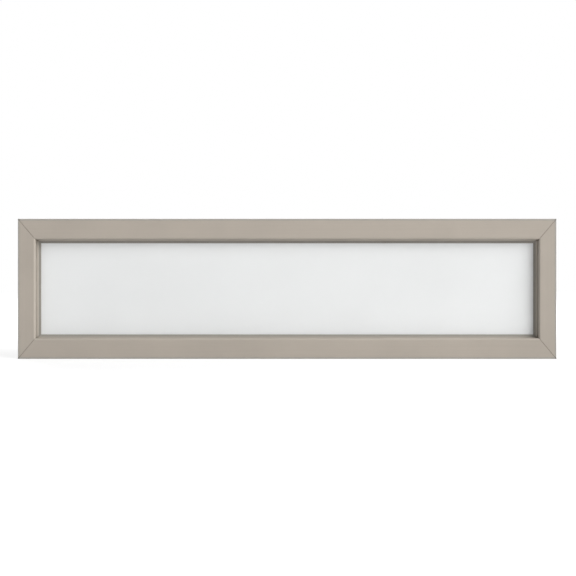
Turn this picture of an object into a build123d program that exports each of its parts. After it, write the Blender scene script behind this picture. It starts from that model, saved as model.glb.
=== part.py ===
from build123d import *
import os

# A fixed transom window: a mitred frame of hollow composite bars, glazed from the room side.
# X runs along the window, Y from outdoors to the room, Z up. The origin is at the middle of
# the underside of the sill. All sizes are in millimetres.

# Overall size of the frame
FRAME_WIDTH = 1511.0
FRAME_HEIGHT = 393.0
FRAME_DEPTH = 82.0

# Front of the frame bars, measured from the outer edge inward
HEAD_FACE = 58.0
JAMB_FACE = 49.0
ROUNDING = 6.0
RECESS = 18.5
TOE_REACH = 2.8
TOE_FALL = 1.5
LEG_BACK = 24.0
OUTER_EDGE_RADIUS = 1.5
TOE_EDGE_RADIUS = 0.6
BACK_EDGE_RADIUS = 2.0
SEAM = 0.7

# Walls and chambers of the frame bars
WALL = 2.6
WEB = 1.8
FLOOR_DROP = 10.0
DRAIN_CHAMBER = 5.4
STIFFENING_WEB = 28.0

# Grooves of the frame bars
STRAP_GROOVE_DEPTHS = (16.5, 64.0)
STRAP_GROOVE_MOUTH = 4.0
STRAP_GROOVE_WIDTH = 8.0
STRAP_GROOVE_LIP = 1.8
STRAP_GROOVE_REACH = 4.8
GASKET_GROOVE_INSET = 8.0
GASKET_GROOVE_MOUTH = 2.0
GASKET_GROOVE_WIDTH = 4.0
GASKET_GROOVE_LIP = 1.2
GASKET_GROOVE_REACH = 3.2
GROOVE_WALL = 1.8
GROOVE_CLEARANCE = 0.15

# Sealed double-glazed unit
EDGE_CLEARANCE = 5.0
PANE = 4.0
ARRIS = 0.5
CAVITY = 16.0
EDGE_SEAL = 4.0
SPACER_HEIGHT = 6.5
SPACER_WALL = 0.8
SPACER_SHOULDER = 2.5

# Gaskets on both sides of the glass
FRONT_GASKET = 2.5
FRONT_GASKET_LIP = 6.35
FRONT_GASKET_TIP = 0.6
FRONT_GASKET_STEP = 0.5
FRONT_GASKET_BACK = 2.5
BACK_GASKET = 3.5
BACK_GASKET_HEIGHT = 10.0
BACK_GASKET_LIP = 1.2
BACK_GASKET_TIP = 2.0
GASKET_NOTCH = 0.5
GASKET_NOTCH_PITCH = 2.4
GASKET_NOTCHES = 3

# Glazing beads on the room side
BEAD_HEIGHT = 19.0
BEAD_SETBACK = 2.0
BEAD_NOSE = 3.0
BEAD_HEEL = 6.0
BEAD_WALL = 1.6
BEAD_EDGE_RADIUS = 1.5
KERF_SETBACK = 10.5
KERF_WIDTH = 3.0
KERF_REACH = 5.0
KERF_CATCH = 0.8
KERF_CATCH_HEIGHT = 2.2
KERF_WALL = 1.8
FOOT_CLEARANCE = 0.3
FOOT_END_CLEARANCE = 0.6

# Blocks that carry and centre the glass
BLOCK_LENGTH = 100.0
BLOCK_END_DISTANCE = 320.0
SIDE_BLOCK_LENGTH = 60.0
BLOCK_CHANNEL_WIDTH = 8.0
BLOCK_CHANNEL_HEIGHT = 1.5

# Weep slots in the sill, and the height of the ones that pass water on to the front chamber
WEEP_LENGTH = 25.0
WEEP_WIDTH = 5.0
FLOOR_WEEP_END_DISTANCE = 160.0
FRONT_WEEP_END_DISTANCE = 200.0
FRONT_WEEP_HEIGHT = 3.6
UNDERSIDE_WEEP_END_DISTANCE = 240.0
UNDERSIDE_WEEP_DEPTH = 6.0

# Depths behind the front face that follow from the sizes above
GLASS_FRONT = LEG_BACK + FRONT_GASKET
GLASS_BACK = GLASS_FRONT + 2 * PANE + CAVITY
BEAD_FRONT = GLASS_BACK + BACK_GASKET
BEAD_BACK = FRAME_DEPTH - BEAD_SETBACK
KERF_CENTRE = BEAD_BACK - KERF_SETBACK
FRONT_Y = -FRAME_DEPTH / 2
CENTRE = Vector(0, 0, FRAME_HEIGHT / 2)


class Side:
    """One side of the window. A section plane's X runs inward from the outer edge and its Y to the room."""

    def __init__(self, name, inward, along, half_reach, half_length, face, next_face):
        self.name = name
        self.inward = Vector(inward)
        self.along = Vector(along)
        self.half_reach = half_reach
        self.half_length = half_length
        self.face = face
        self.next_face = next_face
        self.ratio = face / HEAD_FACE
        self.floor = face - FLOOR_DROP * self.ratio
        self.next_floor = next_face - FLOOR_DROP * next_face / HEAD_FACE
        self.toe = face + TOE_REACH * self.ratio
        self.next_toe = next_face + TOE_REACH * next_face / HEAD_FACE
        self.seam_length = (face**2 + next_face**2) ** 0.5

    def section_plane(self, inset=0.0):
        """The cross-section at mid-length, with its origin that far in from the outer edge."""
        origin = CENTRE - self.inward * (self.half_reach - inset) + Vector(0, FRONT_Y, 0)
        return Plane(origin=origin, x_dir=self.inward, z_dir=self.along)

    def mitre_plane(self, end, inset, next_inset, run, next_run):
        """A joint plane at one end, facing away from the bar."""
        corner = (
            CENTRE
            - self.inward * (self.half_reach - inset)
            + self.along * ((self.half_length - next_inset) * end)
        )
        return Plane(origin=corner, z_dir=self.inward * next_run + self.along * (run * end))

    def seam_plane(self, end, y):
        """The plane across a joint at its outer corner, on the front or the back, facing its inner one."""
        corner = CENTRE - self.inward * self.half_reach + self.along * (self.half_length * end)
        run = self.inward * self.face - self.along * (self.next_face * end)
        return Plane(origin=corner + Vector(0, y, 0), x_dir=(0, 1, 0), z_dir=run)


HALF_WIDTH = FRAME_WIDTH / 2
HALF_HEIGHT = FRAME_HEIGHT / 2
HEAD = Side("head", (0, 0, -1), (1, 0, 0), HALF_HEIGHT, HALF_WIDTH, HEAD_FACE, JAMB_FACE)
SILL = Side("sill", (0, 0, 1), (-1, 0, 0), HALF_HEIGHT, HALF_WIDTH, HEAD_FACE, JAMB_FACE)
LEFT = Side("left_jamb", (1, 0, 0), (0, 0, 1), HALF_WIDTH, HALF_HEIGHT, JAMB_FACE, HEAD_FACE)
RIGHT = Side("right_jamb", (-1, 0, 0), (0, 0, -1), HALF_WIDTH, HALF_HEIGHT, JAMB_FACE, HEAD_FACE)
SIDES = (HEAD, SILL, LEFT, RIGHT)
ENDS = (1, -1)
GLASS_WIDTH = FRAME_WIDTH - 2 * (LEFT.floor + EDGE_CLEARANCE)
GLASS_HEIGHT = FRAME_HEIGHT - 2 * (HEAD.floor + EDGE_CLEARANCE)


def cut_ends(side, inset=0.0, next_inset=0.0, run=1.0, next_run=1.0):
    """Mitres both ends of the bar that is being built."""
    for end in ENDS:
        split(bisect_by=side.mitre_plane(end, inset, next_inset, run, next_run), keep=Keep.BOTTOM)


def patch(u0, u1, d0, d1, mode=Mode.ADD):
    """A rectangle of the section, between two insets and two depths."""
    with Locations((u0, d0)):
        Rectangle(u1 - u0, d1 - d0, align=(Align.MIN, Align.MIN), mode=mode)


def outline(*points, mode=Mode.ADD):
    """A closed straight-sided face of the section."""
    Polygon(*points, align=None, mode=mode)


def depth_plane(depth):
    """An upright plane that far behind the front face, looking towards the room."""
    return Plane(origin=CENTRE + Vector(0, FRONT_Y + depth, 0), x_dir=(-1, 0, 0), z_dir=(0, 1, 0))


def save(part, name):
    part.label = name
    export_step(part, f"parts/{name}.step")


def rounded_corner(side, wall=0.0):
    """The rounding between the face and the recess, or the chamber's corner that far inside it."""
    centre = (side.face - ROUNDING * side.ratio, ROUNDING)
    EllipticalCenterArc(centre, ROUNDING * side.ratio - wall, ROUNDING - wall, start_angle=270, arc_size=90)


def frame_bar(side):
    """One hollow frame bar with its grooves, mitred from the outer to the inner corner of its face."""
    flat_end = side.face - ROUNDING * side.ratio
    drain_top = side.floor - WALL
    drain_bottom = drain_top - DRAIN_CHAMBER
    front_back = LEG_BACK - WALL
    with BuildPart() as bar:
        with BuildSketch(side.section_plane()) as section:
            with BuildLine():
                Polyline(
                    (side.face, ROUNDING),
                    (side.face, RECESS),
                    (side.toe, RECESS + TOE_FALL),
                    (side.toe, LEG_BACK),
                    (side.floor, LEG_BACK),
                    (side.floor, FRAME_DEPTH),
                    (0, FRAME_DEPTH),
                    (0, 0),
                    (flat_end, 0),
                )
                rounded_corner(side)
            make_face()
            fillet(section.vertices().group_by(Axis.X)[0], OUTER_EDGE_RADIUS)
            fillet(section.vertices().group_by(Axis.X)[-1].sort_by(Axis.Y)[0], TOE_EDGE_RADIUS)
            fillet(section.vertices().group_by(Axis.Y)[-1].sort_by(Axis.X)[-1], BACK_EDGE_RADIUS)

            # Chambers: front, drain, main and back
            with BuildLine():
                Polyline(
                    (side.face - WALL, ROUNDING),
                    (side.face - WALL, front_back),
                    (WALL, front_back),
                    (WALL, WALL),
                    (flat_end, WALL),
                )
                rounded_corner(side, WALL)
            make_face(mode=Mode.SUBTRACT)
            patch(drain_bottom, drain_top, front_back + WEB, GLASS_BACK, Mode.SUBTRACT)
            patch(WALL, drain_bottom - WEB, front_back + WEB, GLASS_BACK, Mode.SUBTRACT)
            patch(WALL, drain_top, GLASS_BACK + WEB, FRAME_DEPTH - WALL, Mode.SUBTRACT)
            patch(STIFFENING_WEB, STIFFENING_WEB + WEB, WALL, front_back)
            strap_grooves()
            gasket_groove(side.toe - GASKET_GROOVE_INSET)
            bead_kerf(side.floor)
        extrude(amount=side.half_length, both=True)
        cut_ends(side, run=side.face, next_run=side.next_face)

        # The eased edges of the two joints, on the front and the back
        for end in ENDS:
            for y in (FRONT_Y, -FRONT_Y):
                with BuildSketch(side.seam_plane(end, y)):
                    Rectangle(SEAM * 2**0.5, SEAM * 2**0.5, rotation=45)
                extrude(amount=side.seam_length, mode=Mode.SUBTRACT)
    return bar.part


def strap_grooves():
    """Two undercut grooves in the outer side of the section, with walls around them."""
    wide = STRAP_GROOVE_WIDTH / 2
    mouth = STRAP_GROOVE_MOUTH / 2
    for depth in STRAP_GROOVE_DEPTHS:
        patch(0, STRAP_GROOVE_REACH + GROOVE_WALL, depth - wide - GROOVE_WALL, depth + wide + GROOVE_WALL)
        patch(STRAP_GROOVE_LIP, STRAP_GROOVE_REACH, depth - wide, depth + wide, Mode.SUBTRACT)
        patch(0, STRAP_GROOVE_LIP, depth - mouth, depth + mouth, Mode.SUBTRACT)


def gasket_groove(u):
    """The undercut groove for the gasket's root, in the back of the leg."""
    wide = GASKET_GROOVE_WIDTH / 2
    mouth = GASKET_GROOVE_MOUTH / 2
    bottom = LEG_BACK - GASKET_GROOVE_REACH
    patch(u - wide - GROOVE_WALL, u + wide + GROOVE_WALL, bottom - GROOVE_WALL, LEG_BACK)
    patch(u - wide, u + wide, bottom, LEG_BACK - GASKET_GROOVE_LIP, Mode.SUBTRACT)
    patch(u - mouth, u + mouth, bottom, LEG_BACK, Mode.SUBTRACT)


def bead_kerf(floor):
    """The kerf for the bead's foot in the pocket floor, undercut towards the glass."""
    glass_side = KERF_CENTRE - KERF_WIDTH / 2
    room_side = KERF_CENTRE + KERF_WIDTH / 2
    bottom = floor - KERF_REACH
    patch(bottom - KERF_WALL, floor, glass_side - KERF_CATCH - KERF_WALL, room_side + KERF_WALL)
    patch(bottom, floor, glass_side, room_side, Mode.SUBTRACT)
    patch(bottom, bottom + KERF_CATCH_HEIGHT, glass_side - KERF_CATCH, room_side, Mode.SUBTRACT)


def sill_bar():
    """The sill, with slots from the glazing pocket to the drain chamber, the front chamber and out below."""
    drain_middle = SILL.floor - WALL - DRAIN_CHAMBER / 2
    with BuildPart() as bar:
        add(frame_bar(SILL))
        with BuildSketch(Plane.XY.offset(SILL.floor)):
            with near_ends(FLOOR_WEEP_END_DISTANCE, FRONT_Y + (GLASS_FRONT + GLASS_BACK) / 2):
                SlotOverall(WEEP_LENGTH, WEEP_WIDTH)
        extrude(amount=-WALL, mode=Mode.SUBTRACT)
        with BuildSketch(Plane.XZ.offset(-FRONT_Y - LEG_BACK + WALL)):
            with near_ends(FRONT_WEEP_END_DISTANCE, drain_middle):
                SlotOverall(WEEP_LENGTH, FRONT_WEEP_HEIGHT)
        extrude(amount=-WEB, mode=Mode.SUBTRACT)
        with BuildSketch(Plane.XY):
            with near_ends(UNDERSIDE_WEEP_END_DISTANCE, FRONT_Y + UNDERSIDE_WEEP_DEPTH):
                SlotOverall(WEEP_LENGTH, WEEP_WIDTH)
        extrude(amount=STIFFENING_WEB + WEB, mode=Mode.SUBTRACT)
    return bar.part


def near_ends(distance, height):
    """Two places along the window, that far from its ends and that high in the sketch."""
    return Locations(*[((HALF_WIDTH - distance) * end, height) for end in ENDS])


def notches(u, depth):
    """A row of small notches across a gasket's flat, centred there."""
    with Locations((u, depth)):
        with GridLocations(GASKET_NOTCH_PITCH, 1, GASKET_NOTCHES, 1):
            Rectangle(GASKET_NOTCH * 2**0.5, GASKET_NOTCH * 2**0.5, rotation=45, mode=Mode.SUBTRACT)


def front_gasket(side):
    """The outdoor gasket: a flange behind the leg, a lip on the glass and a root in the groove."""
    back = -GASKET_GROOVE_INSET - FRONT_GASKET_BACK
    with BuildPart() as gasket:
        with BuildSketch(side.section_plane(side.toe)):
            outline(
                (back, LEG_BACK),
                (0, LEG_BACK),
                (0, LEG_BACK - FRONT_GASKET_STEP),
                (FRONT_GASKET_LIP, GLASS_FRONT - FRONT_GASKET_TIP),
                (FRONT_GASKET_LIP, GLASS_FRONT),
                (back, GLASS_FRONT),
            )
            notches(back / 2, GLASS_FRONT)
        extrude(amount=side.half_length, both=True)
        cut_ends(side, side.toe, side.next_toe)
        with BuildSketch(side.section_plane(side.toe - GASKET_GROOVE_INSET)):
            half = GASKET_GROOVE_MOUTH / 2 - GROOVE_CLEARANCE
            barb_back = LEG_BACK - GASKET_GROOVE_LIP - GROOVE_CLEARANCE
            patch(-half, half, barb_back, LEG_BACK)
            half = GASKET_GROOVE_WIDTH / 2 - GROOVE_CLEARANCE
            patch(-half, half, LEG_BACK - GASKET_GROOVE_REACH + GROOVE_CLEARANCE, barb_back)
        extrude(amount=side.half_length - side.next_toe, both=True)
    return gasket.part


def back_gasket(side):
    """The wedge gasket pressed in between the glass and the bead."""
    foot = BEAD_HEIGHT - BACK_GASKET_HEIGHT
    with BuildPart() as gasket:
        with BuildSketch(side.section_plane(side.floor)):
            outline(
                (foot, GLASS_BACK),
                (BEAD_HEIGHT + BACK_GASKET_LIP, GLASS_BACK),
                (BEAD_HEIGHT + BACK_GASKET_LIP, GLASS_BACK + BACK_GASKET_TIP),
                (BEAD_HEIGHT, BEAD_FRONT),
                (foot, BEAD_FRONT),
            )
            notches((foot + BEAD_HEIGHT) / 2, BEAD_FRONT)
        extrude(amount=side.half_length, both=True)
        cut_ends(side, side.floor, side.next_floor)
    return gasket.part


def glazing_bead(side):
    """A hollow snap-in bead with its foot in the kerf of the pocket floor."""
    with BuildPart() as bead:
        with BuildSketch(side.section_plane(side.floor)) as section:
            outline(
                (0, BEAD_FRONT),
                (BEAD_HEIGHT, BEAD_FRONT),
                (BEAD_HEIGHT, BEAD_FRONT + BEAD_NOSE),
                (BEAD_HEEL, BEAD_BACK),
                (0, BEAD_BACK),
            )
            offset(amount=-BEAD_WALL, kind=Kind.INTERSECTION, mode=Mode.SUBTRACT)
            rim = section.vertices().group_by(Axis.X)[-1].sort_by(Axis.Y)[-1]
            heel = section.vertices().group_by(Axis.Y)[-1].sort_by(Axis.X)[-1]
            fillet([rim, heel], BEAD_EDGE_RADIUS)
        extrude(amount=side.half_length, both=True)
        cut_ends(side, side.floor, side.next_floor)
        with BuildSketch(side.section_plane(side.floor)):
            half = KERF_WIDTH / 2 - FOOT_CLEARANCE
            tip = -KERF_REACH + FOOT_END_CLEARANCE
            catch = -KERF_REACH + KERF_CATCH_HEIGHT - FOOT_CLEARANCE
            patch(tip, 0, KERF_CENTRE - half, KERF_CENTRE + half)
            patch(tip, catch, KERF_CENTRE - half - KERF_CATCH, KERF_CENTRE - half)
        extrude(amount=side.half_length - side.next_floor, both=True)
    return bead.part


def spacer_outline(mode=Mode.ADD):
    """The spacer's section, with the shoulders that face the edge of the glass cut off."""
    front = GLASS_FRONT + PANE
    back = front + CAVITY
    outline(
        (0, front + SPACER_SHOULDER),
        (SPACER_SHOULDER, front),
        (SPACER_HEIGHT, front),
        (SPACER_HEIGHT, back),
        (SPACER_SHOULDER, back),
        (0, back - SPACER_SHOULDER),
        mode=mode,
    )


def spacer_bar(side):
    """One hollow spacer bar between the two panes."""
    inset = EDGE_CLEARANCE + EDGE_SEAL
    with BuildPart() as spacer:
        with BuildSketch(side.section_plane(side.floor + inset)):
            spacer_outline()
            offset(amount=-SPACER_WALL, kind=Kind.INTERSECTION, mode=Mode.SUBTRACT)
        extrude(amount=side.half_length, both=True)
        cut_ends(side, side.floor, side.next_floor)
    return spacer.part


def edge_seal(side):
    """The sealant that fills the edge of the unit around the spacer's shoulders."""
    inset = EDGE_CLEARANCE + EDGE_SEAL
    with BuildPart() as seal:
        with BuildSketch(side.section_plane(side.floor + inset)):
            patch(-EDGE_SEAL, SPACER_SHOULDER, GLASS_FRONT + PANE, GLASS_BACK - PANE)
            spacer_outline(Mode.SUBTRACT)
        extrude(amount=side.half_length, both=True)
        cut_ends(side, side.floor, side.next_floor)
    return seal.part


def pane(depth):
    """One pane of the unit, with its front face at that depth."""
    with BuildPart() as glass:
        with BuildSketch(depth_plane(depth)):
            Rectangle(GLASS_WIDTH, GLASS_HEIGHT)
        extrude(amount=PANE)
        chamfer(glass.edges().filter_by(Axis.Y, reverse=True), ARRIS)
    return glass.part


def glass_block(side, length, x=0.0):
    """A block between the pocket floor and the edge of the unit, that far along the window."""
    with BuildPart() as block:
        with BuildSketch(side.section_plane(side.floor)):
            patch(0, EDGE_CLEARANCE, GLASS_FRONT, GLASS_BACK)
            middle = (GLASS_FRONT + GLASS_BACK) / 2
            half = BLOCK_CHANNEL_WIDTH / 2
            patch(0, BLOCK_CHANNEL_HEIGHT, middle - half, middle + half, Mode.SUBTRACT)
        extrude(amount=length / 2, both=True)
    return block.part.moved(Location((x, 0, 0)))


os.makedirs("parts", exist_ok=True)
save(sill_bar(), SILL.name)
for side in (HEAD, LEFT, RIGHT):
    save(frame_bar(side), side.name)
for side in SIDES:
    save(front_gasket(side), f"{side.name}_front_gasket")
    save(back_gasket(side), f"{side.name}_back_gasket")
    save(glazing_bead(side), f"{side.name}_bead")
    save(spacer_bar(side), f"{side.name}_spacer")
    save(edge_seal(side), f"{side.name}_edge_seal")

save(pane(GLASS_FRONT), "outer_pane")
save(pane(GLASS_BACK - PANE), "inner_pane")

for side, name in ((SILL, "setting_block"), (HEAD, "head_block")):
    for end, hand in zip(ENDS, ("right", "left")):
        save(glass_block(side, BLOCK_LENGTH, (HALF_WIDTH - BLOCK_END_DISTANCE) * end), f"{hand}_{name}")
for side in (LEFT, RIGHT):
    save(glass_block(side, SIDE_BLOCK_LENGTH), f"{side.name}_block")
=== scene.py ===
"""Finishes, small pieces and studio for a fixed transom window.

The window is a mitred frame of hollow taupe bars around a satin double-glazed unit, held by
gaskets and by snap-in beads on the room side. X runs along the window, Y from outdoors to the
room and Z up, all in metres.
"""

import logging
import math
from dataclasses import dataclass
from enum import Enum
from typing import Protocol

import bmesh
import bpy
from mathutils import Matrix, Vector, noise


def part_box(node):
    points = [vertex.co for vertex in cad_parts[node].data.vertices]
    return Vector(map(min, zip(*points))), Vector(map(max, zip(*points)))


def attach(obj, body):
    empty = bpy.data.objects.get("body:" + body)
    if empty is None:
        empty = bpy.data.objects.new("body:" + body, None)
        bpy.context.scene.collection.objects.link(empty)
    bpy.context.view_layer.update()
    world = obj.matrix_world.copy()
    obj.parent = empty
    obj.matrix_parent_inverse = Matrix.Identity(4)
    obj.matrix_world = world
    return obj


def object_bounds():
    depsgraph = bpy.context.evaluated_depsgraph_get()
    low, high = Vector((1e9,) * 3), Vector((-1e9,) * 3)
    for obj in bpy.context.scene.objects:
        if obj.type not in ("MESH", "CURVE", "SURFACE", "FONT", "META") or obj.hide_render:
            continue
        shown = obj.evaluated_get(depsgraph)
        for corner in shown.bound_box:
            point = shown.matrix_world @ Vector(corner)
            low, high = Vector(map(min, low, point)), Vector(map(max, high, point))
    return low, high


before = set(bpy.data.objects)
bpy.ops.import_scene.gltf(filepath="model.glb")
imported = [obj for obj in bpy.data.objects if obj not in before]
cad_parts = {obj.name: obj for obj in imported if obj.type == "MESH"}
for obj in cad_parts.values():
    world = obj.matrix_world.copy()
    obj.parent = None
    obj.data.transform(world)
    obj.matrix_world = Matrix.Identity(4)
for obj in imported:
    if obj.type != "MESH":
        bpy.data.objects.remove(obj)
CAD_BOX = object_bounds()
CAD_LOW, CAD_HIGH = CAD_BOX

LOG = logging.getLogger("transom_window")
MM = 0.001
BODY = "root"

# The roundings of the bars, along the inner edge of their face and round the outside
ROUNDING = 6.0 * MM
OUTER_RADIUS = 1.5 * MM

# Random grain wanders mostly between these two values
GRAIN_LOW = 0.3
GRAIN_HIGH = 0.7

# The share of its grain that a drawn piece keeps along its length
DRAWN = 0.006

GLASS_IOR = 1.52

Socket = bpy.types.NodeSocket
Triple = tuple[float, float, float]
Range = tuple[float, float]
Fed = float | Triple | Socket


class Run(Enum):
    """The way a bar, gasket or bead runs: how far its grain is stretched along X, Y and Z."""

    ACROSS = (DRAWN, 1.0, 1.0)
    UPRIGHT = (1.0, 1.0, DRAWN)


class Side(Enum):
    """The four sides of the window, by the name that their pieces start with."""

    HEAD = "head"
    SILL = "sill"
    LEFT = "left_jamb"
    RIGHT = "right_jamb"

    @property
    def run(self) -> Run:
        """The way the pieces of this side run."""
        return Run.ACROSS if self in (Side.HEAD, Side.SILL) else Run.UPRIGHT

    def piece(self, kind: str) -> str:
        """The name of this side's piece of that kind, or of its bar where no kind is named."""
        return f"{self.value}_{kind}" if kind else self.value


class Blend(Enum):
    """The ways in which two numbers make one."""

    ADD = "ADD"
    TIMES = "MULTIPLY"
    LESS = "SUBTRACT"
    LOWER = "MINIMUM"
    HIGHER = "MAXIMUM"


class Nodes:
    """A node tree that is being filled. Each method adds to it and gives the output with the result."""

    def __init__(self, owner: bpy.types.ID) -> None:
        """Starts the node tree of a material or a world."""
        owner.use_nodes = True
        self.tree = owner.node_tree

    def feed(self, socket: Socket, value: Fed) -> None:
        """Links an output to the socket, or sets the socket's own value.

        Args:
            socket: The input that is fed.
            value: An output to link, or a plain value.
        """
        if isinstance(value, Socket):
            self.tree.links.new(value, socket)
        else:
            socket.default_value = value

    def add_node(
        self, kind: str, output: str | int, values: dict[str | int, Fed], **settings: object
    ) -> Socket:
        """Adds one node.

        Args:
            kind: The node's type, without the words ShaderNode.
            output: The wanted output, by name or number.
            values: What goes into the inputs, by name or number.
            settings: The node's own settings.

        Returns:
            The wanted output of the new node.
        """
        made = self.tree.nodes.new("ShaderNode" + kind)
        for setting, value in settings.items():
            setattr(made, setting, value)
        for key, value in values.items():
            self.feed(made.inputs[key], value)
        return made.outputs[output]

    def position(self) -> Socket:
        """The point on the piece, in metres."""
        return self.add_node("TexCoord", "Object", {})

    def coordinate(self, vector: Socket, axis: str) -> Socket:
        """One coordinate of a vector."""
        return self.add_node("SeparateXYZ", axis, {"Vector": vector})

    def rise(self) -> Socket:
        """How much the surface faces up, from nought on a wall to one on a level top."""
        return self.coordinate(self.add_node("TexCoord", "Normal", {}), "Z")

    def combine(self, blend: Blend, first: Fed, second: Fed) -> Socket:
        """One number made of two."""
        return self.add_node("Math", "Value", {0: first, 1: second}, operation=blend.value)

    def product(self, first: Fed, *others: Fed) -> Fed:
        """Numbers multiplied with each other.

        Args:
            first: The first number.
            others: The numbers that it is multiplied by, in order.

        Returns:
            The product.
        """
        for other in others:
            first = self.combine(Blend.TIMES, first, other)
        return first

    def hypotenuse(self, first: Fed, second: Fed) -> Socket:
        """The length of the long side of a right triangle, from its two short ones."""
        squares = [self.combine(Blend.TIMES, side, side) for side in (first, second)]
        return self.add_node("Math", "Value", {0: self.combine(Blend.ADD, *squares)}, operation="SQRT")

    def unsigned(self, value: Fed) -> Socket:
        """A number without its sign."""
        return self.add_node("Math", "Value", {0: value}, operation="ABSOLUTE")

    def grain(self, per_metre: float, stretch: Triple = (1.0, 1.0, 1.0), detail: float = 2.0) -> Socket:
        """Soft random grain.

        Args:
            per_metre: How many patches there are to a metre.
            stretch: The share of that along X, Y and Z, where less makes longer patches.
            detail: How many finer layers are in it.

        Returns:
            A number that wanders about a half.
        """
        scale = tuple(per_metre * share for share in stretch)
        moved = self.add_node("Mapping", "Vector", {"Vector": self.position(), "Scale": scale})
        return self.add_node("TexNoise", "Fac", {"Vector": moved, "Scale": 1.0, "Detail": detail})

    def pits(self, per_metre: float) -> Socket:
        """Random cells, as the distance from each cell's middle."""
        return self.add_node("TexVoronoi", "Distance", {"Vector": self.position(), "Scale": per_metre})

    def between(self, value: Fed, start: float, end: float, low: float = 0.0, high: float = 1.0) -> Socket:
        """A number brought from one range smoothly into another, and held there.

        Args:
            value: The number.
            start: Where the low end begins.
            end: Where the high end is reached.
            low: What comes out at the start.
            high: What comes out at the end.

        Returns:
            The number in its new range.
        """
        limits = {"Value": value, "From Min": start, "From Max": end, "To Min": low, "To Max": high}
        return self.add_node("MapRange", "Result", limits, interpolation_type="SMOOTHSTEP")

    def spread(self, grain: Socket, low: float, high: float) -> Socket:
        """Grain spread over a range."""
        return self.between(grain, GRAIN_LOW, GRAIN_HIGH, low, high)

    def sway(self, grain: Socket, share: float) -> Socket:
        """Grain as a factor that goes that far above and below one."""
        return self.spread(grain, 1.0 - share, 1.0 + share)

    def tint(self, colour: Fed, factor: Fed) -> Socket:
        """A colour made lighter or darker."""
        return self.add_node("VectorMath", "Vector", {0: colour, "Scale": factor}, operation="SCALE")

    def cover(self, under: Fed, over: Triple, share: Fed) -> Socket:
        """A colour laid over another, as thickly as the share says."""
        return self.add_node("Mix", 2, {0: share, 6: under, 7: (*over, 1.0)}, data_type="RGBA")

    def bump(self, height: Socket, distance: float, under: Socket | None = None) -> Socket:
        """Adds relief.

        Args:
            height: The form of the relief, from nought to one.
            distance: Its height in metres.
            under: Any relief that it lies on.

        Returns:
            The normal with the relief in it.
        """
        values = {"Height": height, "Distance": distance, "Strength": 1.0}
        if under is not None:
            values["Normal"] = under
        return self.add_node("Bump", "Normal", values)

    def shown(self) -> Socket:
        """Tells the rays that show a thing from those that only light one.

        Returns:
            One for a ray that shows a thing, straight or in gloss or glass, and nought for any other.
        """
        kinds = ("Camera", "Glossy", "Transmission")
        camera, glossy, through = (self.add_node("LightPath", f"Is {kind} Ray", {}) for kind in kinds)
        seen = self.combine(Blend.HIGHER, self.combine(Blend.HIGHER, camera, glossy), through)
        lighting = self.combine(Blend.LOWER, 1.0, self.add_node("LightPath", "Diffuse Depth", {}))
        return self.product(seen, self.combine(Blend.LESS, 1.0, lighting))


class Recipe(Nodes):
    """The nodes of one finish, round its surface shader."""

    def __init__(self, name: str) -> None:
        """Starts a material of that name."""
        self.material = bpy.data.materials.new(name)
        super().__init__(self.material)
        self.shader = self.tree.nodes["Principled BSDF"]

    def uniform(self, **values: object) -> None:
        """Sets sockets of the surface shader that are the same all over, by name with underscores."""
        for name, value in values.items():
            self.shader.inputs[name.replace("_", " ")].default_value = value

    def surface(self, colour: Fed, roughness: Fed, normal: Socket) -> bpy.types.Material:
        """Puts what varies over the surface on its shader.

        Args:
            colour: The base colour.
            roughness: The roughness.
            normal: The normal with the relief in it.

        Returns:
            The finished material.
        """
        self.feed(self.shader.inputs["Base Color"], colour)
        self.feed(self.shader.inputs["Roughness"], roughness)
        self.feed(self.shader.inputs["Normal"], normal)
        return self.material


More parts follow.
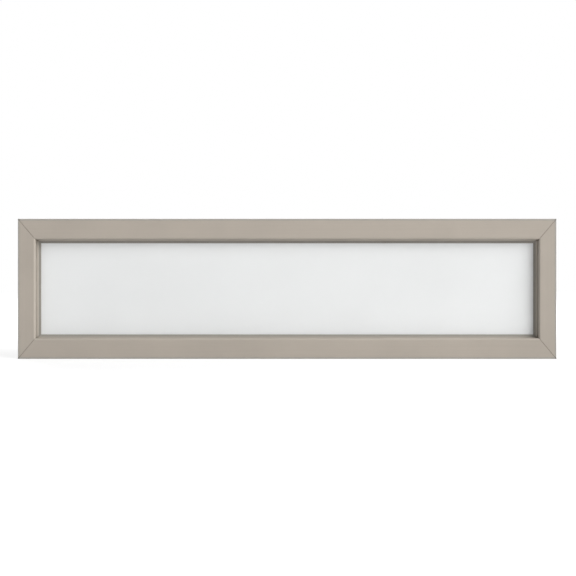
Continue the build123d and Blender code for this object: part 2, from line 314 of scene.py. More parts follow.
@dataclass(frozen=True)
class Ring:
    """A rectangular ring of four mitred pieces, as its outer edges lie."""

    half_width: float
    half_height: float
    middle: float
    across_face: float = 1.0
    upright_face: float = 1.0
    front: float = 0.0
    back: float = 0.0

    @classmethod
    def around(cls, low: Vector, high: Vector, **faces: float) -> "Ring":
        """Makes the ring that fills a box centred on X.

        Args:
            low: The low corner of the box.
            high: The high corner of the box.
            faces: The widths of the faces, and the depths of the front and the back.

        Returns:
            The ring.
        """
        middle = (low.z + high.z) / 2
        return cls(high.x, high.z - middle, middle, **faces)

    def inset_x(self, recipe: Recipe) -> Socket:
        """How far in a point lies from the nearer end of the ring."""
        aside = recipe.unsigned(recipe.coordinate(recipe.position(), "X"))
        return recipe.combine(Blend.LESS, self.half_width, aside)

    def inset_z(self, recipe: Recipe) -> Socket:
        """How far in a point lies from the top or the bottom of the ring, whichever is nearer."""
        height = recipe.combine(Blend.LESS, recipe.coordinate(recipe.position(), "Z"), self.middle)
        return recipe.combine(Blend.LESS, self.half_height, recipe.unsigned(height))

    def depth_in(self, recipe: Recipe) -> Socket:
        """Measures how far in a point lies across the pieces.

        Args:
            recipe: The recipe that the nodes go in.

        Returns:
            Nought at the ring's outer edge and one at its inner edge.
        """
        sideways = recipe.product(self.inset_x(recipe), 1.0 / self.upright_face)
        upward = recipe.product(self.inset_z(recipe), 1.0 / self.across_face)
        return recipe.combine(Blend.LOWER, sideways, upward)

    def behind_front(self, recipe: Recipe) -> Socket:
        """How far a point lies behind the ring's front."""
        return recipe.combine(Blend.LESS, recipe.coordinate(recipe.position(), "Y"), self.front)

    def from_arris(self, recipe: Recipe) -> Socket:
        """Measures how far a point lies from the nearest outer arris of the front or the back.

        Args:
            recipe: The recipe that the nodes go in.

        Returns:
            The distance in metres.
        """
        inset = recipe.combine(Blend.LOWER, self.inset_x(recipe), self.inset_z(recipe))
        depth = recipe.coordinate(recipe.position(), "Y")
        gone = [recipe.unsigned(recipe.combine(Blend.LESS, depth, face)) for face in (self.front, self.back)]
        return recipe.hypotenuse(inset, recipe.combine(Blend.LOWER, *gone))

    def from_mitre(self, recipe: Recipe) -> Socket:
        """Measures how far a point lies from the nearest mitre joint.

        Args:
            recipe: The recipe that the nodes go in.

        Returns:
            The distance in metres.
        """
        slope = math.hypot(self.across_face, self.upright_face)
        sideways = recipe.product(self.inset_x(recipe), self.across_face / slope)
        upward = recipe.product(self.inset_z(recipe), self.upright_face / slope)
        return recipe.unsigned(recipe.combine(Blend.LESS, sideways, upward))


@dataclass(frozen=True)
class Band:
    """A layer along the inner edge of the bars, between two depths behind their face."""

    colour: Triple
    start: float
    end: float
    share: Range


@dataclass(frozen=True)
class Capstock:
    """The matte coloured skin of the extruded composite bars and beads."""

    ring: Ring
    colour: Triple = (0.412, 0.367, 0.316)
    # Pale, for the painted highlights on the arris, the inner rounding and the toe, and where the rounding
    # faces up
    painted_highlight: Triple = (0.5, 0.455, 0.4)
    # Grey, for painted shade along the outer edges
    painted_edge_shade: Triple = (0.29, 0.297, 0.285)
    smeared: Triple = (0.19, 0.19, 0.175)
    # Dark, for painted shade on the recess wall
    dust_and_shade: Triple = (0.22, 0.19, 0.155)
    # Dark, for the joints and for painted shade in the inner corners
    grime_and_shade: Triple = (0.2, 0.172, 0.14)

    # What wanders over the whole skin
    cloud_per_metre: float = 7.0
    cloud_sway: float = 0.03
    cloud_roughness: Range = (-0.03, 0.05)
    streak_per_metre: float = 650.0
    streak_sway: float = 0.015
    streak_roughness: Range = (0.31, 0.37)
    streak_relief: float = 0.008 * MM
    fleck_per_metre: float = 2600.0
    fleck_sway: float = 0.035
    fleck_relief: float = 0.004 * MM
    skin_per_metre: float = 620.0
    skin_relief: float = 0.02 * MM
    patch_per_metre: float = 90.0

    # Painted shade and a painted highlight by their distance from the outer arris, and sealant smears by
    # theirs from the corner
    edge: float = 4.2 * MM
    edge_end: float = 6.3 * MM
    edge_share: float = 0.56
    edge_least: float = 0.75
    arris_highlight: float = 1.2 * MM
    arris_highlight_share: float = 0.6
    arris_highlight_patch: Range = (0.45, 0.65)
    smear: float = 6.8 * MM
    smear_core: float = 0.6
    smear_share: float = 0.75

    # How far across the face the inner edge begins, and by depth there the painted shade on the wall and in
    # the corners and the painted highlights on the rounding and the toe
    inner: Range = (0.88, 0.9)
    recess: float = 18.5 * MM
    toe_end: float = 21.5 * MM
    soft: float = 1.0 * MM
    wall_shade: Range = (0.42, 0.58)
    rounding_highlight: Range = (0.2, 0.36)
    toe_highlight: Range = (0.4, 0.58)
    top_highlight_rise: Range = (0.1, 0.7)
    top_highlight_share: float = 0.45
    corner_shade: float = 4.0 * MM
    corner_shade_share: float = 0.65

    # The mitre joints
    dirt_line: float = 1.7 * MM
    dirt_share: float = 0.5
    hairline: float = 0.12 * MM
    hairline_share: float = 0.8

    def paint_edge_light_and_smears(self, recipe: Recipe, colour: Fed, patch: Socket) -> Socket:
        """Paints shade along the outer edges and a patchy highlight on their arris, and smears sealant on
        the corners.

        Args:
            recipe: The recipe that the nodes go in.
            colour: The colour so far.
            patch: The grain that makes the painted shade and highlight uneven.

        Returns:
            The colour with the painted shade, the painted highlight and the smears over it.
        """
        arris = self.ring.from_arris(recipe)
        # Painted shade along the outer edges, over the outer rounding and a narrow strip beside it
        painted_edge_shade = recipe.product(
            recipe.between(arris, self.edge, self.edge_end, self.edge_share, 0.0),
            recipe.spread(patch, self.edge_least, 1.0),
        )
        colour = recipe.cover(colour, self.painted_edge_shade, painted_edge_shade)
        # A patchy painted highlight on the outer arris
        painted_arris_highlight = recipe.product(
            recipe.between(arris, self.arris_highlight / 2, self.arris_highlight, self.arris_highlight_share, 0.0),
            recipe.between(patch, *self.arris_highlight_patch),
        )
        colour = recipe.cover(colour, self.painted_highlight, painted_arris_highlight)
        corner = recipe.combine(Blend.HIGHER, self.ring.inset_x(recipe), self.ring.inset_z(recipe))
        away = recipe.hypotenuse(corner, arris)
        smeared = recipe.between(away, self.smear * self.smear_core, self.smear, self.smear_share, 0.0)
        return recipe.cover(colour, self.smeared, smeared)

    def paint_recess_light(self, recipe: Recipe, colour: Fed, patch: Socket) -> Socket:
        """Paints shade on the recess wall and in the inner corners, and highlights on the rounding, on the
        toe and where the rounding faces up.

        Args:
            recipe: The recipe that the nodes go in.
            colour: The colour so far.
            patch: The grain that makes the bands uneven.

        Returns:
            The colour with the painted shade and highlights over it.
        """
        depth = self.ring.behind_front(recipe)
        inner = recipe.between(self.ring.depth_in(recipe), *self.inner)
        # Painted shade on the recess wall, and painted highlights on the inner rounding and on the toe
        bands = (
            Band(self.dust_and_shade, ROUNDING + self.soft, self.recess, self.wall_shade),
            Band(self.painted_highlight, self.soft, ROUNDING - self.soft, self.rounding_highlight),
            Band(self.painted_highlight, self.recess + self.soft, self.toe_end, self.toe_highlight),
        )
        for band in bands:
            share = recipe.product(
                recipe.between(depth, band.start - self.soft, band.start),
                recipe.between(depth, band.end, band.end + self.soft, 1.0, 0.0),
                recipe.spread(patch, *band.share),
                inner,
            )
            colour = recipe.cover(colour, band.colour, share)

        # A painted highlight where the rounding faces up, which is on the sill
        top_highlight = recipe.product(
            recipe.between(recipe.rise(), *self.top_highlight_rise, 0.0, self.top_highlight_share),
            recipe.between(depth, ROUNDING - self.soft, ROUNDING + self.soft, 1.0, 0.0),
            inner,
        )
        colour = recipe.cover(colour, self.painted_highlight, top_highlight)
        # Painted shade in the recess near each mitre, in the inner corners
        corner_shade = recipe.product(
            recipe.between(depth, ROUNDING / 2, ROUNDING),
            recipe.between(self.ring.from_mitre(recipe), 0.0, self.corner_shade, self.corner_shade_share, 0.0),
            inner,
        )
        return recipe.cover(colour, self.grime_and_shade, corner_shade)

    def mark_joints(self, recipe: Recipe, colour: Fed) -> Socket:
        """Draws the fine dark line of each joint, in a little dirt.

        Args:
            recipe: The recipe that the nodes go in.
            colour: The colour so far.

        Returns:
            The colour with the joints over it.
        """
        aside = self.ring.from_mitre(recipe)
        dirt = recipe.between(aside, 0.0, self.dirt_line, self.dirt_share, 0.0)
        line = recipe.between(aside, self.hairline / 2, self.hairline, self.hairline_share, 0.0)
        return recipe.cover(recipe.cover(colour, self.grime_and_shade, dirt), self.grime_and_shade, line)

    def material(self, name: str, run: Run) -> bpy.types.Material:
        """Mixes the skin for pieces of one run.

        Args:
            name: The material's name.
            run: The way the pieces run, which the drawing lines follow.

        Returns:
            The material.
        """
        recipe = Recipe(name)
        cloud = recipe.grain(self.cloud_per_metre, detail=3.0)
        streak = recipe.grain(self.streak_per_metre, run.value)
        fleck = recipe.grain(self.fleck_per_metre, detail=1.0)
        patch = recipe.grain(self.patch_per_metre)
        tone = recipe.product(
            recipe.sway(cloud, self.cloud_sway),
            recipe.sway(streak, self.streak_sway),
            recipe.sway(fleck, self.fleck_sway),
        )
        colour = recipe.tint(self.colour, tone)
        colour = self.paint_edge_light_and_smears(recipe, colour, patch)
        colour = self.paint_recess_light(recipe, colour, patch)
        colour = self.mark_joints(recipe, colour)
        roughness = recipe.combine(
            Blend.ADD,
            recipe.spread(streak, *self.streak_roughness),
            recipe.spread(cloud, *self.cloud_roughness),
        )
        relief = recipe.bump(recipe.grain(self.skin_per_metre, detail=1.0), self.skin_relief)
        relief = recipe.bump(streak, self.streak_relief, relief)
        relief = recipe.bump(fleck, self.fleck_relief, relief)
        recipe.uniform(Specular_IOR_Level=0.45)
        return recipe.surface(colour, roughness, relief)


@dataclass(frozen=True)
class Rubber:
    """The soft grey gasket, with a dusty bloom and fine extrusion lines."""

    ring: Ring
    colour: Triple = (0.25, 0.235, 0.208)
    bloom: Triple = (0.32, 0.305, 0.275)
    # Pale, for a painted highlight where the gasket faces up
    top_highlight: Triple = (0.44, 0.42, 0.38)
    grime_and_shade: Triple = (0.12, 0.11, 0.095)

    line_per_metre: float = 1500.0
    line_sway: float = 0.07
    line_relief: float = 0.02 * MM
    matt_per_metre: float = 5200.0
    matt_relief: float = 0.006 * MM
    patch_per_metre: float = 45.0
    bloom_patch: Range = (0.5, 0.72)
    bloom_share: float = 0.45
    dull_patch: Range = (0.35, 0.7)
    dulling: Range = (0.62, 0.8)
    # How far the gasket faces up where its painted highlight begins and ends, and how strong it is
    top_highlight_rise: Range = (0.05, 0.28)
    top_highlight_share: float = 0.35
    hairline: float = 0.15 * MM
    hairline_share: float = 0.85

    def material(self, name: str, run: Run) -> bpy.types.Material:
        """Mixes the rubber for gaskets of one run.

        Args:
            name: The material's name.
            run: The way the gaskets run.

        Returns:
            The material.
        """
        recipe = Recipe(name)
        line = recipe.grain(self.line_per_metre, run.value)
        matt = recipe.grain(self.matt_per_metre, detail=1.0)
        patch = recipe.grain(self.patch_per_metre, detail=4.0)
        colour = recipe.tint(self.colour, recipe.sway(line, self.line_sway))
        bloomed = recipe.between(patch, *self.bloom_patch, 0.0, self.bloom_share)
        colour = recipe.cover(colour, self.bloom, bloomed)
        # A painted highlight where the gasket faces up
        top_highlight = recipe.between(recipe.rise(), *self.top_highlight_rise, 0.0, self.top_highlight_share)
        colour = recipe.cover(colour, self.top_highlight, top_highlight)
        aside = self.ring.from_mitre(recipe)
        joint = recipe.between(aside, self.hairline / 2, self.hairline, self.hairline_share, 0.0)
        colour = recipe.cover(colour, self.grime_and_shade, joint)
        roughness = recipe.between(patch, *self.dull_patch, *self.dulling)
        relief = recipe.bump(line, self.line_relief)
        relief = recipe.bump(matt, self.matt_relief, relief)
        recipe.uniform(Specular_IOR_Level=0.35, Sheen_Weight=0.08, Sheen_Roughness=0.4)
        return recipe.surface(colour, roughness, relief)


@dataclass(frozen=True)
class SatinGlass:
    """Float glass with an acid-etched face, pale, even and softly see-through."""

    colour: Triple = (0.945, 0.955, 0.955)
    clearness: float = 0.28
    cloud_per_metre: float = 3.0
    cloud_sway: float = 0.015
    frost_per_metre: float = 24.0
    frost: Range = (0.43, 0.49)
    wave_per_metre: float = 9.0
    wave_stretch: Triple = (0.25, 1.0, 1.0)
    wave_relief: float = 0.05 * MM
    tooth_per_metre: float = 6000.0
    tooth_relief: float = 0.0015 * MM

    def material(self, name: str) -> bpy.types.Material:
        """Mixes the satin glass, with its fine etched tooth and a faint roller wave.

        Args:
            name: The material's name.

        Returns:
            The material.
        """
        recipe = Recipe(name)
        cloud = recipe.grain(self.cloud_per_metre, detail=3.0)
        colour = recipe.tint(self.colour, recipe.sway(cloud, self.cloud_sway))
        roughness = recipe.spread(recipe.grain(self.frost_per_metre), *self.frost)
        relief = recipe.bump(recipe.grain(self.wave_per_metre, self.wave_stretch, 1.0), self.wave_relief)
        relief = recipe.bump(recipe.grain(self.tooth_per_metre, detail=1.0), self.tooth_relief, relief)
        recipe.uniform(Transmission_Weight=self.clearness, IOR=GLASS_IOR)
        recipe.uniform(Coat_Weight=0.6, Coat_Roughness=0.06)
        return recipe.surface(colour, roughness, relief)


@dataclass(frozen=True)
class ClearGlass:
    """Plain float glass with the faint green of its iron."""

    colour: Triple = (0.95, 0.985, 0.97)
    cloud_per_metre: float = 4.0
    cloud_tone: Range = (0.99, 1.0)
    speck_per_metre: float = 900.0
    speck_patch: Range = (0.66, 0.78)
    speck_share: float = 0.5
    polish: Range = (0.012, 0.1)
    wave_per_metre: float = 6.0
    wave_stretch: Triple = (0.2, 1.0, 1.0)
    wave_relief: float = 0.03 * MM

    def material(self, name: str) -> bpy.types.Material:
        """Mixes the clear glass, with specks of dust and a faint wave.

        Args:
            name: The material's name.

        Returns:
            The material.
        """
        recipe = Recipe(name)
        specks = recipe.grain(self.speck_per_metre, detail=3.0)
        dust_and_shade = recipe.between(specks, *self.speck_patch, 0.0, self.speck_share)
        tone = recipe.spread(recipe.grain(self.cloud_per_metre), *self.cloud_tone)
        colour = recipe.tint(self.colour, tone)
        roughness = recipe.between(dust_and_shade, 0.0, self.speck_share, *self.polish)
        relief = recipe.bump(recipe.grain(self.wave_per_metre, self.wave_stretch, 1.0), self.wave_relief)
        recipe.uniform(Transmission_Weight=1.0, IOR=GLASS_IOR)
        return recipe.surface(colour, roughness, relief)


@dataclass(frozen=True)
class SpacerStrip:
    """Thin grey strip metal, drawn lengthwise, with two rows of breather holes."""

    ring: Ring
    depth: float
    colour: Triple = (0.5, 0.505, 0.5)
    # Near black, for painted shade inside the breather holes, and for the line of each joint
    hole: Triple = (0.05, 0.05, 0.05)
    pitch: float = 5.0 * MM
    row: float = 4.2 * MM
    radius: float = 0.45 * MM
    rim: float = 0.8
    hole_relief: float = 0.2 * MM
    line_per_metre: float = 1400.0
    line_sway: float = 0.08
    line_roughness: Range = (0.32, 0.45)
    line_relief: float = 0.01 * MM
    hairline: float = 0.16 * MM
    hairline_share: float = 0.8

    def holes(self, recipe: Recipe, run: Run) -> Socket:
        """Sets out the two rows of holes.

        Args:
            recipe: The recipe that the nodes go in.
            run: The way the rows run.

        Returns:
            One in a hole and nought beside it.
        """
        along = recipe.coordinate(recipe.position(), "X" if run is Run.ACROSS else "Z")
        step = recipe.add_node("Math", "Value", {0: along, 1: self.pitch, 2: 0.0}, operation="WRAP")
        step = recipe.combine(Blend.LESS, step, self.pitch / 2)
        depth = recipe.coordinate(recipe.position(), "Y")
        side = recipe.unsigned(recipe.combine(Blend.LESS, depth, self.depth))
        side = recipe.combine(Blend.LESS, side, self.row)
        away = recipe.hypotenuse(step, side)
        return recipe.between(away, self.radius * self.rim, self.radius, 1.0, 0.0)

    def material(self, name: str, run: Run) -> bpy.types.Material:
        """Mixes the strip for bars of one run.

        Args:
            name: The material's name.
            run: The way the bars run, which the rows of holes follow.

        Returns:
            The material.
        """
        recipe = Recipe(name)
        line = recipe.grain(self.line_per_metre, run.value)
        colour = recipe.tint(self.colour, recipe.sway(line, self.line_sway))
        hole = self.holes(recipe, run)
        # The holes are painted near black, as painted shade inside them
        colour = recipe.cover(colour, self.hole, hole)
        aside = self.ring.from_mitre(recipe)
        joint = recipe.between(aside, self.hairline / 2, self.hairline, self.hairline_share, 0.0)
        colour = recipe.cover(colour, self.hole, joint)
        roughness = recipe.spread(line, *self.line_roughness)
        relief = recipe.bump(line, self.line_relief)
        relief = recipe.bump(recipe.combine(Blend.LESS, 1.0, hole), self.hole_relief, relief)
        recipe.uniform(Metallic=0.85)
        return recipe.surface(colour, roughness, relief)


@dataclass(frozen=True)
class Sealant:
    """Cured sealant, tooled by hand: a rubbery skin with low ripples and a few pinholes."""

    colour: Triple
    gloss: Range
    ripple_per_metre: float = 420.0
    ripple_tone: Range = (0.88, 1.1)
    ripple_relief: float = 0.05 * MM
    pinhole_per_metre: float = 900.0
    pinhole: Range = (0.08, 0.2)
    pinhole_relief: float = 0.05 * MM

    def material(self, name: str) -> bpy.types.Material:
        """Mixes the sealant.

        Args:
            name: The material's name.

        Returns:
            The material.
        """
        recipe = Recipe(name)
        ripple = recipe.grain(self.ripple_per_metre)
        pinholes = recipe.between(recipe.pits(self.pinhole_per_metre), *self.pinhole)
        shade = recipe.product(recipe.spread(ripple, *self.ripple_tone), pinholes)
        colour = recipe.tint(self.colour, shade)
        roughness = recipe.spread(ripple, *self.gloss)
        relief = recipe.bump(ripple, self.ripple_relief)
        relief = recipe.bump(pinholes, self.pinhole_relief, relief)
        recipe.uniform(Specular_IOR_Level=0.4)
        return recipe.surface(colour, roughness, relief)


@dataclass(frozen=True)
class BlockPlastic:
    """Moulded block plastic with ribs across it and a grained skin."""

    colour: Triple = (0.045, 0.046, 0.05)
    scuffed: Triple = (0.13, 0.13, 0.135)
    rib_scale: float = 250.0
    rib_relief: float = 0.25 * MM
    skin_per_metre: float = 1900.0
    skin_tone: Range = (0.85, 1.2)
    skin_relief: float = 0.03 * MM
    scuff_per_metre: float = 160.0
    scuff_stretch: Triple = (0.2, 1.0, 1.0)
    scuff_patch: Range = (0.56, 0.7)
    scuff_share: float = 0.7
    scuffing: Range = (0.5, 0.75)

    def material(self, name: str) -> bpy.types.Material:
        """Mixes the plastic.

        Args:
            name: The material's name.

        Returns:
            The material.
        """
        recipe = Recipe(name)
        skin = recipe.grain(self.skin_per_metre)
        patch = recipe.grain(self.scuff_per_metre, self.scuff_stretch, 4.0)
        scuff = recipe.between(patch, *self.scuff_patch, 0.0, self.scuff_share)
        colour = recipe.tint(self.colour, recipe.spread(skin, *self.skin_tone))
        colour = recipe.cover(colour, self.scuffed, scuff)
        roughness = recipe.between(scuff, 0.0, self.scuff_share, *self.scuffing)
        ribs = recipe.add_node("TexWave", "Fac", {"Vector": recipe.position(), "Scale": self.rib_scale})
        relief = recipe.bump(ribs, self.rib_relief)
        relief = recipe.bump(skin, self.skin_relief, relief)
        return recipe.surface(colour, roughness, relief)


@dataclass(frozen=True)
class StudioFloor:
    """A pale matt floor that the camera sees as white, with the shadow still on it."""

    colour: Triple = (0.9, 0.9, 0.9)
    roughness: float = 0.9
    shade_per_metre: float = 2.0
    shade: Range = (0.985, 1.0)
    grain_per_metre: float = 60.0
    grain_relief: float = 0.05 * MM
    kept: float = 0.45
    lift: Range = (0.72, 1.0)
    reach: Range = (0.6, 2.5)

    def material(self, name: str) -> bpy.types.Material:
        """Mixes the floor, which is brighter to the camera further out.

        Args:
            name: The material's name.

        Returns:
            The material.
        """
        recipe = Recipe(name)
        shade = recipe.spread(recipe.grain(self.shade_per_metre), *self.shade)
        shown = recipe.shown()
        kept = recipe.between(shown, 0.0, 1.0, 1.0, self.kept)
        colour = recipe.tint(self.colour, recipe.product(shade, kept))
        place = recipe.position()
        gone = recipe.hypotenuse(recipe.coordinate(place, "X"), recipe.coordinate(place, "Y"))
        lift = recipe.between(gone, *self.reach, *self.lift)
        recipe.uniform(Specular_IOR_Level=0.0, Emission_Color=(1.0, 1.0, 1.0, 1.0))
        recipe.feed(recipe.shader.inputs["Emission Strength"], recipe.product(shown, lift))
        relief = recipe.bump(recipe.grain(self.grain_per_metre), self.grain_relief)
        return recipe.surface(colour, self.roughness, relief)


class RunFinish(Protocol):
    """A finish whose grain follows the way that a piece runs."""

    def material(self, name: str, run: Run) -> bpy.types.Material:
        """Mixes the finish for pieces of one run."""


def dress(node: str, material: bpy.types.Material) -> None:
    """Puts a material on a carried-over piece and reports it.

    Args:
        node: The piece's name.
        material: Its finish.
    """
    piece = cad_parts[node]
    piece.data.materials.clear()
    piece.data.materials.append(material)
    LOG.info("dressed %s in %s", node, material.name)


def dress_ring(kind: str, finish: RunFinish, name: str) -> None:
    """Dresses the four pieces of a kind, each with the grain along its run.

    Args:
        kind: The kind of piece, or nothing for the bars.
        finish: The finish of all four.
        name: What the names of the two materials start with.
    """
    materials = {run: finish.material(f"{name}_{run.name.lower()}", run) for run in Run}
    for side in Side:
        dress(side.piece(kind), materials[side.run])


def add_piece(name: str, mesh: bpy.types.Mesh, material: bpy.types.Material) -> None:
    """Adds a piece of the window that rides on its body, and reports it.

    Args:
        name: The piece's name.
        mesh: Its mesh, in place.
        material: Its finish.
    """
    piece = bpy.data.objects.new(name, mesh)
    bpy.context.scene.collection.objects.link(piece)
    mesh.materials.append(material)
    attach(piece, BODY)
    LOG.info("made %s with %d faces", name, len(mesh.polygons))


def loft(name: str, rings: list[list[Vector]]) -> bpy.types.Mesh:
    """Makes a closed smooth mesh through rings of points.

    Args:
        name: The mesh's name.
        rings: The rings in order, each with as many points, going round the same way.

    Returns:
        The mesh, closed at both ends.
    """
    mesh = bpy.data.meshes.new(name)
    build = bmesh.new()
    rows = [[build.verts.new(point) for point in ring] for ring in rings]
    count = len(rows[0])
    for row, following in zip(rows, rows[1:]):
        for i in range(count):
            j = (i + 1) % count
            build.faces.new((row[i], row[j], following[j], following[i]))
    build.faces.new(rows[0][::-1])
    build.faces.new(rows[-1])
    bmesh.ops.recalc_face_normals(build, faces=build.faces)
    for face in build.faces:
        face.smooth = True
    build.to_mesh(mesh)
    build.free()
    return mesh


@dataclass(frozen=True)
class Corner:
    """One corner of the frame: its outer point, and which way the frame lies from it along X and Z."""

    name: str
    outer: Vector
    inward_x: float
    inward_z: float


def frame_corners() -> list[Corner]:
    """Finds the four corners of the frame.

    Returns:
        The corners, with Y left at nought.
    """
    return [
        Corner(f"{level}_{side}", Vector((x, 0.0, z)), inward_x, inward_z)
        for side, x, inward_x in (("left", CAD_LOW.x, 1.0), ("right", CAD_HIGH.x, -1.0))
        for level, z, inward_z in (("lower", CAD_LOW.z, 1.0), ("upper", CAD_HIGH.z, -1.0))
    ]


@dataclass(frozen=True)
class FrameBars:
    """The four hollow bars."""

    head_face: float = 58.0 * MM
    jamb_face: float = 49.0 * MM

    def dress(self) -> None:
        """Gives each bar its skin, with the lines along its run."""
        faces = {"across_face": self.head_face, "upright_face": self.jamb_face}
        ring = Ring.around(CAD_LOW, CAD_HIGH, front=CAD_LOW.y, back=CAD_HIGH.y, **faces)
        dress_ring("", Capstock(ring), "capstock")

    def drop(self, inset: float) -> float:
        """Works out how far the rounded outer edge falls back behind the face.

        Args:
            inset: The distance in from the outer edge.

        Returns:
            The fall there, nought from the end of the rounding inward.
        """
        if inset >= OUTER_RADIUS:
            return 0.0
        return OUTER_RADIUS - math.sqrt(OUTER_RADIUS**2 - (OUTER_RADIUS - inset) ** 2)


@dataclass(frozen=True)
class JointSealant:
    """The lines of sealant in the grooves of the mitre joints, smeared wider at the outer corners."""

    bars: FrameBars
    finish: Sealant = Sealant((0.15, 0.14, 0.122), (0.47, 0.63))
    groove: float = 0.7 * MM
    fill: float = 0.55
    sunk: float = 0.02 * MM
    foot: float = 0.7
    hollow: float = 0.16
    hollow_ripple: float = 0.05
    width_ripple: float = 0.14
    ripples_per_metre: float = 260.0
    smear: float = 0.88 * MM
    smear_length: float = 3.2 * MM
    tip: float = 0.35
    drop_share: float = 0.55
    clearance: float = 0.05 * MM
    stations: int = 48
    crowding: float = 1.6

    # How far the noise moves on for each metre between the corners and between the faces
    corner_shift: float = 9.0
    face_shift: float = 50.0

    def ripple(self, corner: Corner, face: float, gone: float) -> float:
        """Makes the line uneven.

        Args:
            corner: The corner whose joint it fills.
            face: The depth of the face that it is in.
            gone: The distance from the corner.

        Returns:
            The unevenness there, about nought.
        """
        along = corner.outer.x * self.corner_shift + gone * self.ripples_per_metre
        return noise.noise(Vector((along, face * self.face_shift, corner.outer.z * self.corner_shift)))

    def profile(self, hollow: float) -> list[Range]:
        """The section of a line: places in half its width, each with its depth under the top."""
        top = [(side, hollow * (1.0 - side * side)) for side in (-1.0, -0.5, 0.0, 0.5, 1.0)]
        return top + [(self.foot, self.groove), (-self.foot, self.groove)]

    def seam(self, corner: Corner, face: float, into: float) -> list[list[Vector]]:
        """Sets out one line, from the outer corner to where the inner rounding begins.

        Args:
            corner: The corner whose joint it fills.
            face: The depth of the face that it is in, along Y.
            into: The way from that face into the frame, 1 or -1 along Y.

        Returns:
            The rings of the line, kept inside the frame's box.
        """
        run = Vector((corner.inward_x * self.bars.jamb_face, 0.0, corner.inward_z * self.bars.head_face))
        length = run.length * (1.0 - ROUNDING / self.bars.head_face)
        run.normalize()
        across = run.cross(Vector((0.0, 1.0, 0.0)))
        start = OUTER_RADIUS / 2
        margin = Vector((1.0, 1.0, 1.0)) * self.clearance
        low, high = CAD_LOW + margin, CAD_HIGH - margin
        rings = []
        for i in range(self.stations + 1):
            gone = start + (length - start) * (i / self.stations) ** self.crowding
            ripple = self.ripple(corner, face, gone)
            smear = max(0.0, 1.0 - (gone - start) / self.smear_length)
            half = self.groove * self.fill * (1.0 + self.width_ripple * ripple) + self.smear * smear**2
            if i in (0, self.stations):
                half *= self.tip
            hollow = self.groove * (self.hollow + self.hollow_ripple * ripple) * (1.0 - smear)
            drop = self.bars.drop(gone * min(abs(run.x), abs(run.z))) * self.drop_share
            top = face + into * (drop + self.groove * (1.0 - self.fill) * (1.0 - smear) + self.sunk)
            centre = corner.outer + run * gone
            ring = [
                Vector((centre.x, top + into * depth, centre.z)) + across * (half * side)
                for side, depth in self.profile(hollow)
            ]
            rings.append([Vector(map(max, low, map(min, high, point))) for point in ring])
        return rings

    def seal(self) -> None:
        """Fills the joint grooves on the front and the back."""
        material = self.finish.material("joint_sealant")
        for place, face, into in (("front", CAD_LOW.y, 1.0), ("back", CAD_HIGH.y, -1.0)):
            for corner in frame_corners():
                name = f"{corner.name}_{place}_joint_sealant"
                add_piece(name, loft(name, self.seam(corner, face, into)), material)


@dataclass(frozen=True)
class Gaskets:
    """The outdoor and indoor gaskets."""

    front_tone: float = 1.06
    back_tone: float = 0.9

    def dress(self) -> None:
        """Gives each gasket its rubber."""
        for place, tone in (("front", self.front_tone), ("back", self.back_tone)):
            _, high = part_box(f"head_{place}_gasket")
            low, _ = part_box(f"sill_{place}_gasket")
            colour = tuple(tone * part for part in Rubber.colour)
            dress_ring(f"{place}_gasket", Rubber(Ring.around(low, high), colour), f"{place}_gasket")


@dataclass(frozen=True)
class Beads:
    """The snap-in glazing beads on the room side."""

    colour: Triple = (0.426, 0.38, 0.33)

    def dress(self) -> None:
        """Gives each bead its skin, which has no sealant smeared on it."""
        _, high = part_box("head_bead")
        low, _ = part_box("sill_bead")
        ring = Ring.around(low, high, front=high.y, back=high.y)
        dress_ring("bead", Capstock(ring, self.colour, smear_share=0.0), "bead_skin")


@dataclass(frozen=True)
class GlassUnit:
    """The sealed unit of a satin and a clear pane, and the blocks around it."""

    edge_sealant: Sealant = Sealant((0.028, 0.028, 0.03), (0.37, 0.53))
    blocks: tuple[str, ...] = (
        "left_setting_block",
        "right_setting_block",
        "left_head_block",
        "right_head_block",
        "left_jamb_block",
        "right_jamb_block",
    )

    def dress(self) -> None:
        """Gives panes, spacers, seals and blocks their finishes."""
        dress("outer_pane", SatinGlass().material("satin_glass"))
        dress("inner_pane", ClearGlass().material("clear_glass"))
        _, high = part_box("head_spacer")
        low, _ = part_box("sill_spacer")
        dress_ring("spacer", SpacerStrip(Ring.around(low, high), (low.y + high.y) / 2), "spacer")
        sealant = self.edge_sealant.material("edge_sealant")
        for side in Side:
            dress(side.piece("edge_seal"), sealant)
        plastic = BlockPlastic().material("block_plastic")
        for block in self.blocks:
            dress(block, plastic)


@dataclass(frozen=True)
class Softbox:
    """A large soft lamp, placed by its bearing from the window."""

    name: str
    bearing: float
    elevation: float
    level: float
    width: float
    height: float
    distance: float
    glossy: bool = True

    def light(self, target: Vector) -> None:
        """Hangs the lamp and points it at the target.

        Args:
            target: The point that it lights, where a white surface square to it gets its level.
        """
        lamp = bpy.data.lights.new(self.name, "AREA")
        lamp.shape = "RECTANGLE"
        lamp.size = self.width
        lamp.size_y = self.height
        lamp.energy = self.level * math.pi**2 * self.distance**2
        holder = bpy.data.objects.new(self.name, lamp)
        bpy.context.scene.collection.objects.link(holder)
        turn, rise = math.radians(self.bearing), math.radians(self.elevation)
        towards = Vector(
            (math.sin(turn) * math.cos(rise), -math.cos(turn) * math.cos(rise), math.sin(rise))
        )
        holder.location = target + towards * self.distance
        holder.rotation_euler = towards.to_track_quat("Z", "Y").to_euler()
        holder.visible_camera = False
        holder.visible_glossy = self.glossy
        LOG.info("hung %s", self.name)


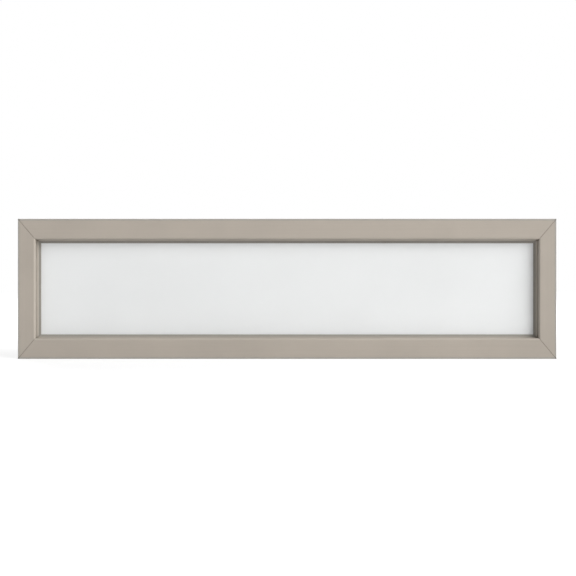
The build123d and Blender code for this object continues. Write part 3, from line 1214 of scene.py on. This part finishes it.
@dataclass(frozen=True)
class Studio:
    """The pale floor, the soft light and the camera."""

    picture_size: float = 576.0
    picture_left: float = 17.95
    picture_right: float = 556.33
    picture_top: float = 218.87
    picture_bottom: float = 358.81
    lens: float = 50.0
    sensor: float = 36.0
    ambient: float = 0.08
    floor_reach: float = 30.0
    floor_gap: float = 0.1 * MM
    softboxes: tuple[Softbox, ...] = (
        Softbox("key_light", 55.0, 30.0, 1.07, 9.6, 9.0, 12.5, glossy=False),
        Softbox("fill_light", 1.0, 9.0, 0.17, 5.0, 3.5, 12.0, glossy=False),
        Softbox("back_light", 205.0, 38.0, 0.58, 8.0, 8.0, 12.0),
    )

    def lay_floor(self) -> None:
        """Lays the floor just under the sill."""
        mesh = bpy.data.meshes.new("floor")
        reach = self.floor_reach
        points = [(-reach, -reach), (reach, -reach), (reach, reach), (-reach, reach)]
        mesh.from_pydata([(x, y, -self.floor_gap) for x, y in points], [], [(0, 1, 2, 3)])
        floor = bpy.data.objects.new("floor", mesh)
        bpy.context.scene.collection.objects.link(floor)
        mesh.materials.append(StudioFloor().material("studio_floor"))
        LOG.info("laid the floor")

    def light(self) -> None:
        """Lights the window from the lamps and from a pale room all round."""
        for softbox in self.softboxes:
            softbox.light((CAD_LOW + CAD_HIGH) / 2)
        world = bpy.data.worlds.new("studio")
        bpy.context.scene.world = world
        nodes = Nodes(world)
        background = nodes.tree.nodes["Background"]
        background.inputs["Color"].default_value = (1.0, 1.0, 1.0, 1.0)
        nodes.feed(background.inputs["Strength"], nodes.between(nodes.shown(), 0.0, 1.0, self.ambient, 1.0))
        LOG.info("lit the room")

    def place_camera(self) -> None:
        """Sets the camera square to the window, so that its front fills the same part of the picture."""
        width = CAD_HIGH.x - CAD_LOW.x
        scale = width / (self.picture_right - self.picture_left)
        distance = self.lens / self.sensor * scale * self.picture_size
        aside = (self.picture_size - self.picture_left - self.picture_right) / 2 * scale
        above = (self.picture_top + self.picture_bottom - self.picture_size) / 2 * scale
        middle = (CAD_LOW + CAD_HIGH) / 2

        # The outline of the front lies where its outer rounding ends
        outline = CAD_LOW.y + OUTER_RADIUS
        camera = bpy.data.cameras.new("camera")
        camera.lens = self.lens
        camera.sensor_width = self.sensor
        holder = bpy.data.objects.new("camera", camera)
        bpy.context.scene.collection.objects.link(holder)
        holder.location = (middle.x + aside, outline - distance, middle.z + above)
        holder.rotation_euler = (math.pi / 2, 0.0, 0.0)
        bpy.context.scene.camera = holder
        LOG.info("set the camera %.3f m in front", distance)


def main() -> None:
    """Dresses the window piece by piece and sets up the studio."""
    logging.basicConfig(level=logging.INFO, format="%(message)s")
    bpy.context.scene.view_settings.view_transform = "Standard"
    bars = FrameBars()
    bars.dress()
    JointSealant(bars).seal()
    Gaskets().dress()
    Beads().dress()
    GlassUnit().dress()
    studio = Studio()
    studio.lay_floor()
    studio.light()
    studio.place_camera()


if __name__ == "__main__":
    main()
